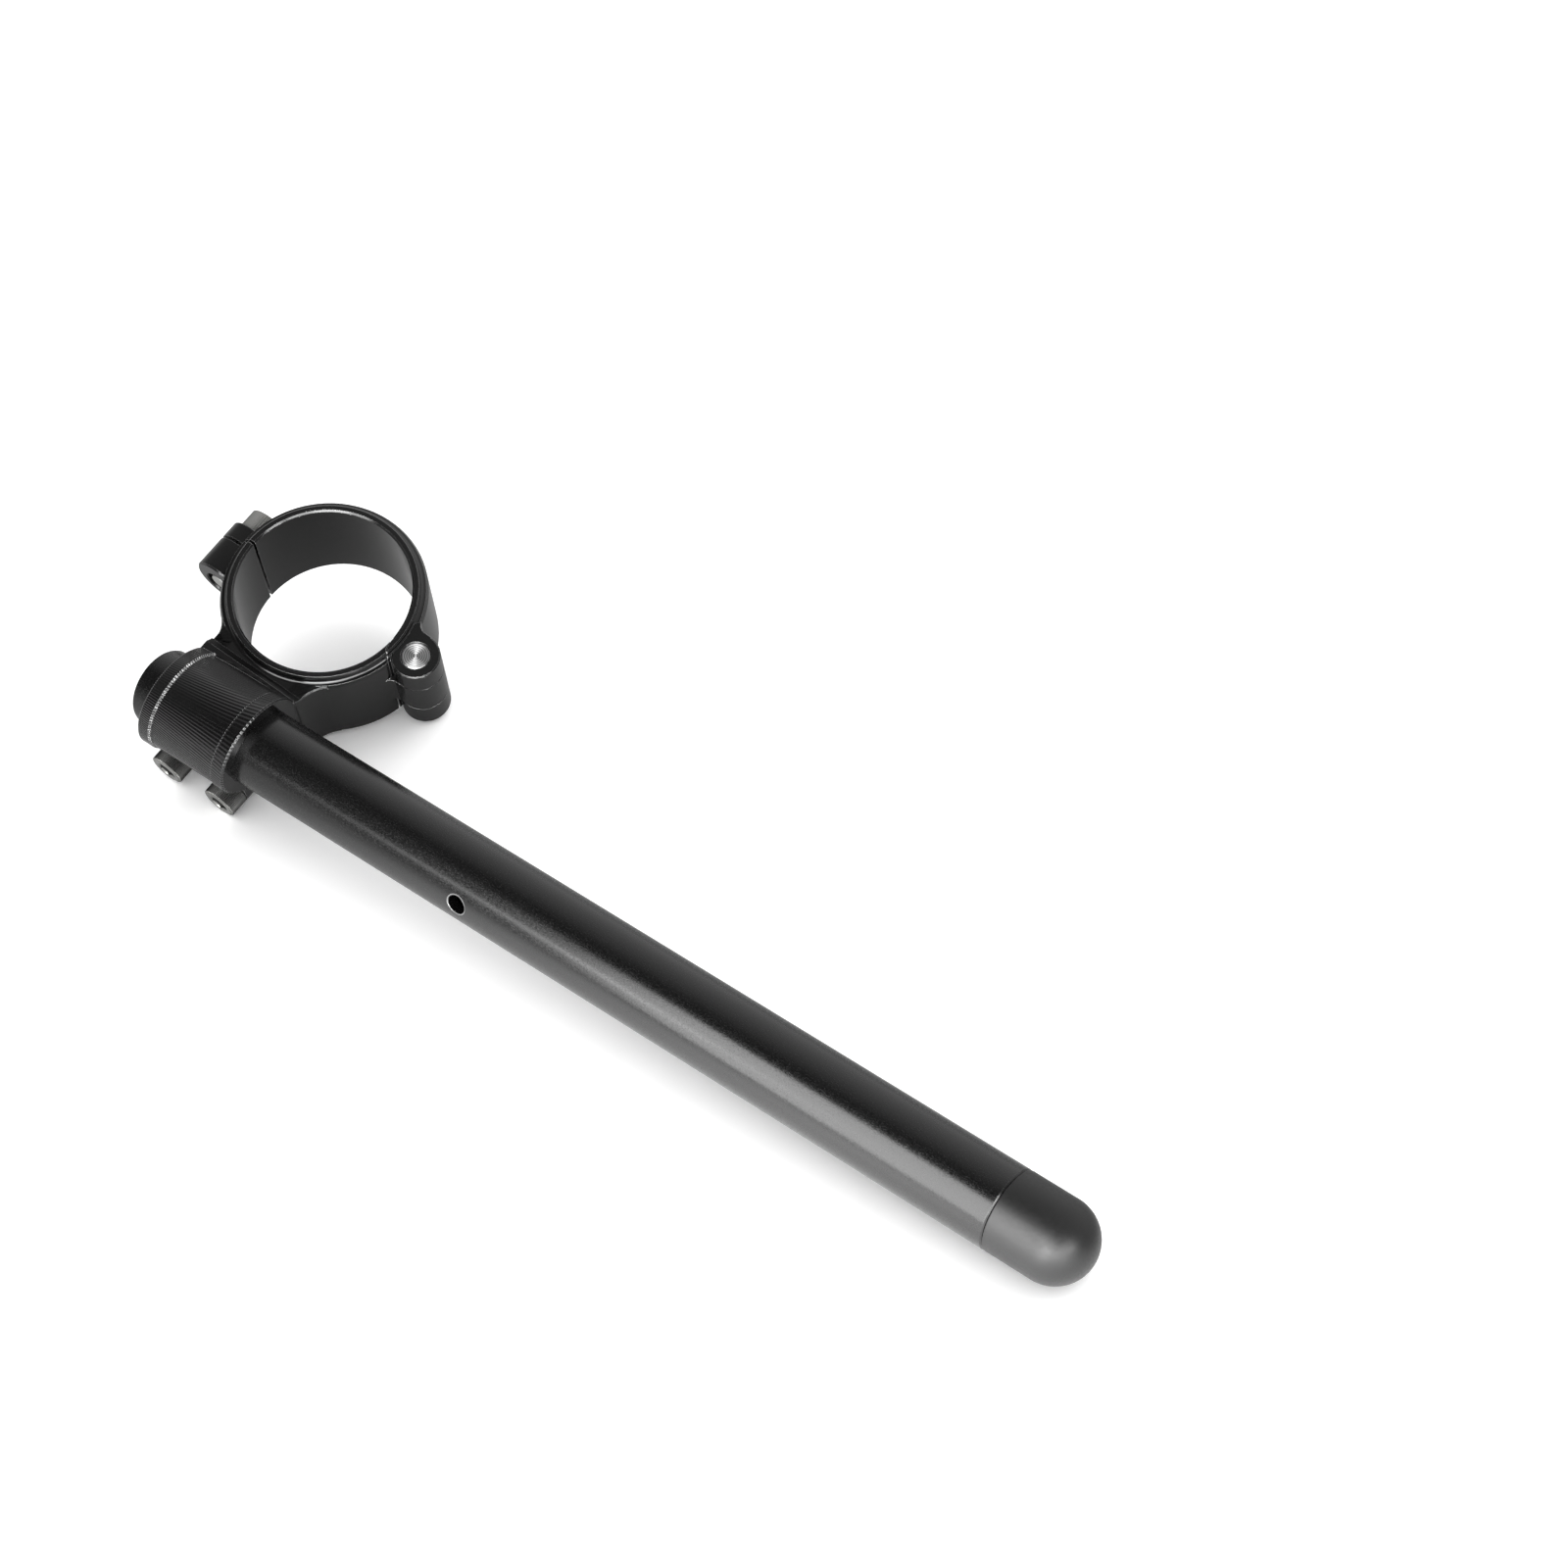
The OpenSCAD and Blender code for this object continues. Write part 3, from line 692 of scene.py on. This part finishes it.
def end_cap():
    """Cap with a rounded shoulder, a domed end and the plug that holds it in the bar."""
    shoulder = bar_front + 0.1 * MM
    dome = arc(0, bar_front + cap_l, bar_r, 0, pi / 2, 40)
    outline = [(0, bar_front - plug_l + 0.2 * MM), (plug_r - 0.4 * MM, bar_front - plug_l + 0.2 * MM),
               (plug_r - 0.05 * MM, bar_front - plug_l + 0.6 * MM), (plug_r - 0.05 * MM, shoulder),
               (bar_r - 0.35 * MM, shoulder), (bar_r - 0.1 * MM, shoulder + 0.1 * MM), (bar_r, shoulder + 0.4 * MM)]
    outline += dome[:-1] + [(0, bar_front + cap_l + bar_r)]
    cap = lathe("end_cap_shown", outline, bar_origin, bar_axis)
    return finish_piece(cap, cap_skin, "body", "end_cap", 40)


clamp_body()
clamp_half()
hinge_pin()
clamp_bolt()
pinch_screws()
bar_tube()
end_cap()

# ---------------------------------------------------------------- studio
# the table that the real part lies on is tilted in the part's own frame
table_up = Vector((-0.236, 0.2365, 0.9425)).normalized()
table_at = -24.36 * MM


def table():
    """White table top that keeps the part's shadow. Its colour in reflections is painted: darker near the part as
    painted shade, brighter along +X and towards -Y as painted light.
    """
    deselect()
    bpy.ops.mesh.primitive_circle_add(vertices=96, radius=2.6, fill_type="NGON")
    floor = bpy.context.object
    floor.name = "floor"
    floor.rotation_mode = "QUATERNION"
    floor.rotation_quaternion = table_up.to_track_quat("Z", "Y")
    floor.location = table_up * table_at
    white = bpy.data.materials.new("white_table")
    white.use_nodes = True
    tree = white.node_tree
    shader = tree.nodes["Principled BSDF"]
    shader.inputs["Roughness"].default_value = 0.8
    shader.inputs["Specular IOR Level"].default_value = 0.1
    path = tree.nodes.new("ShaderNodeLightPath")
    ground = tree.nodes.new("ShaderNodeNewGeometry")
    place = tree.nodes.new("ShaderNodeSeparateXYZ")
    tree.links.new(ground.outputs["Position"], place.inputs[0])
    # painted reflection: glossy rays see 0.35 near the part, rising towards -Y to 0.58 at x=0 and to 2.6 at x=0.2 and
    # beyond
    painted_reflection_spans = []
    for axis, start, end, low, high in (("X", 0.0, 0.2, 0.58, 2.6), ("Y", -0.01, -0.1, 0, 1)):
        span = tree.nodes.new("ShaderNodeMapRange")
        for key, value in (("From Min", start), ("From Max", end), ("To Min", low), ("To Max", high)):
            span.inputs[key].default_value = value
        tree.links.new(place.outputs[axis], span.inputs["Value"])
        painted_reflection_spans.append(span.outputs["Result"])
    mirrored = tree.nodes.new("ShaderNodeMix")
    mirrored.inputs["A"].default_value = 0.35
    tree.links.new(painted_reflection_spans[0], mirrored.inputs["B"])
    tree.links.new(painted_reflection_spans[1], mirrored.inputs["Factor"])
    glossy = tree.nodes.new("ShaderNodeMix")
    glossy.inputs["A"].default_value = 0.7
    camera = tree.nodes.new("ShaderNodeMix")
    camera.inputs["B"].default_value = 1.1
    tree.links.new(path.outputs["Is Glossy Ray"], glossy.inputs["Factor"])
    tree.links.new(mirrored.outputs["Result"], glossy.inputs["B"])
    tree.links.new(path.outputs["Is Camera Ray"], camera.inputs["Factor"])
    tree.links.new(glossy.outputs["Result"], camera.inputs["A"])
    tree.links.new(camera.outputs["Result"], shader.inputs["Base Color"])
    floor.data.materials.append(white)


def room():
    """White to the camera; in reflections pale near the table and dark overhead."""
    world = bpy.data.worlds.new("studio")
    bpy.context.scene.world = world
    world.use_nodes = True
    tree = world.node_tree
    sky = tree.nodes["Background"]
    place = tree.nodes.new("ShaderNodeTexCoord")
    parts = []
    for axis, start, end, low, high in ((table_up, 0.15, 0.4, 0.45, 0), (Y, 0.1, 0.9, 0.03, 1.0)):
        along = tree.nodes.new("ShaderNodeVectorMath")
        along.operation = "DOT_PRODUCT"
        along.inputs[1].default_value = axis
        tree.links.new(place.outputs["Generated"], along.inputs[0])
        span = tree.nodes.new("ShaderNodeMapRange")
        for key, value in (("From Min", start), ("From Max", end), ("To Min", low), ("To Max", high)):
            span.inputs[key].default_value = value
        tree.links.new(along.outputs["Value"], span.inputs["Value"])
        parts.append(span.outputs["Result"])
    both = tree.nodes.new("ShaderNodeMath")
    both.operation = "MAXIMUM"
    path = tree.nodes.new("ShaderNodeLightPath")
    glossy = tree.nodes.new("ShaderNodeMix")
    glossy.inputs["A"].default_value = 1.45
    camera = tree.nodes.new("ShaderNodeMix")
    camera.inputs["B"].default_value = 1.0
    tree.links.new(parts[0], both.inputs[0])
    tree.links.new(parts[1], both.inputs[1])
    tree.links.new(path.outputs["Is Glossy Ray"], glossy.inputs["Factor"])
    tree.links.new(both.outputs["Value"], glossy.inputs["B"])
    tree.links.new(path.outputs["Is Camera Ray"], camera.inputs["Factor"])
    tree.links.new(glossy.outputs["Result"], camera.inputs["A"])
    tree.links.new(camera.outputs["Result"], sky.inputs["Strength"])
    sky.inputs["Color"].default_value = (1, 1, 1, 1)


def softbox(name, direction, distance, size, watts, mirrored=True, towards=(0.08, -0.03, 0.01), along=None):
    """Soft lamp that faces the part from a direction, mirrored in its surfaces or not."""
    deselect()
    at = Vector(towards) + Vector(direction).normalized() * distance
    bpy.ops.object.light_add(type="AREA", location=at)
    lamp = bpy.context.object
    lamp.name = name
    lamp.data.shape = "RECTANGLE"
    lamp.data.size, lamp.data.size_y = size
    lamp.data.energy = watts
    lamp.rotation_mode = "QUATERNION"
    facing = Vector(direction).normalized()
    if along:
        lamp.rotation_quaternion = Matrix((along, facing.cross(along), facing)).transposed().to_quaternion()
    else:
        lamp.rotation_quaternion = facing.to_track_quat("Z", "Y")
    lamp.visible_camera = False
    lamp.visible_glossy, lamp.visible_diffuse = mirrored, not mirrored
    return lamp


def photo_camera():
    """Camera at the photo's place, for a square picture."""
    right = Vector((0.80472981, 0.59353326, -0.01132252))
    lift = Vector((-0.54010028, 0.73993321, 0.40098695))
    back = Vector((0.246377, -0.31657085, 0.91601379))
    half_pixel = 0.129 * MM
    deselect()
    place = Vector((0.354966, -0.253095, 0.828868)) - right * half_pixel + lift * half_pixel
    bpy.ops.object.camera_add(location=place)
    camera = bpy.context.object
    camera.name = "photo_camera"
    camera.data.lens = 76.593
    camera.data.sensor_width = 36
    camera.data.clip_start, camera.data.clip_end = 0.05, 20
    camera.rotation_mode = "QUATERNION"
    camera.rotation_quaternion = Matrix((right, lift, back)).transposed().to_quaternion()
    bpy.context.scene.camera = camera
    bpy.context.scene.view_settings.view_transform = "Standard"


table()
room()
softbox("key_softbox", (0.3, 0.6, 0.85), 1.5, (1.0, 1.0), 3.5, mirrored=False)
softbox("left_softbox", (-0.52, -0.73, 0.45), 1.5, (0.22, 0.22), 1)
softbox("right_softbox", (0.8, -0.1, 0.6), 1.6, (0.5, 0.5), 10)
softbox("grip_side_softbox", (0.45, -0.65, 0.62), 1.5, (1.6, 0.7), 37)
over_bar = Y * cos(radians(138.5)) + bar_top * sin(radians(138.5))
softbox("bar_softbox", over_bar, 0.4535, (0.5, 0.49), 6.2, towards=bar_origin + bar_axis * 0.17, along=bar_axis)
photo_camera()
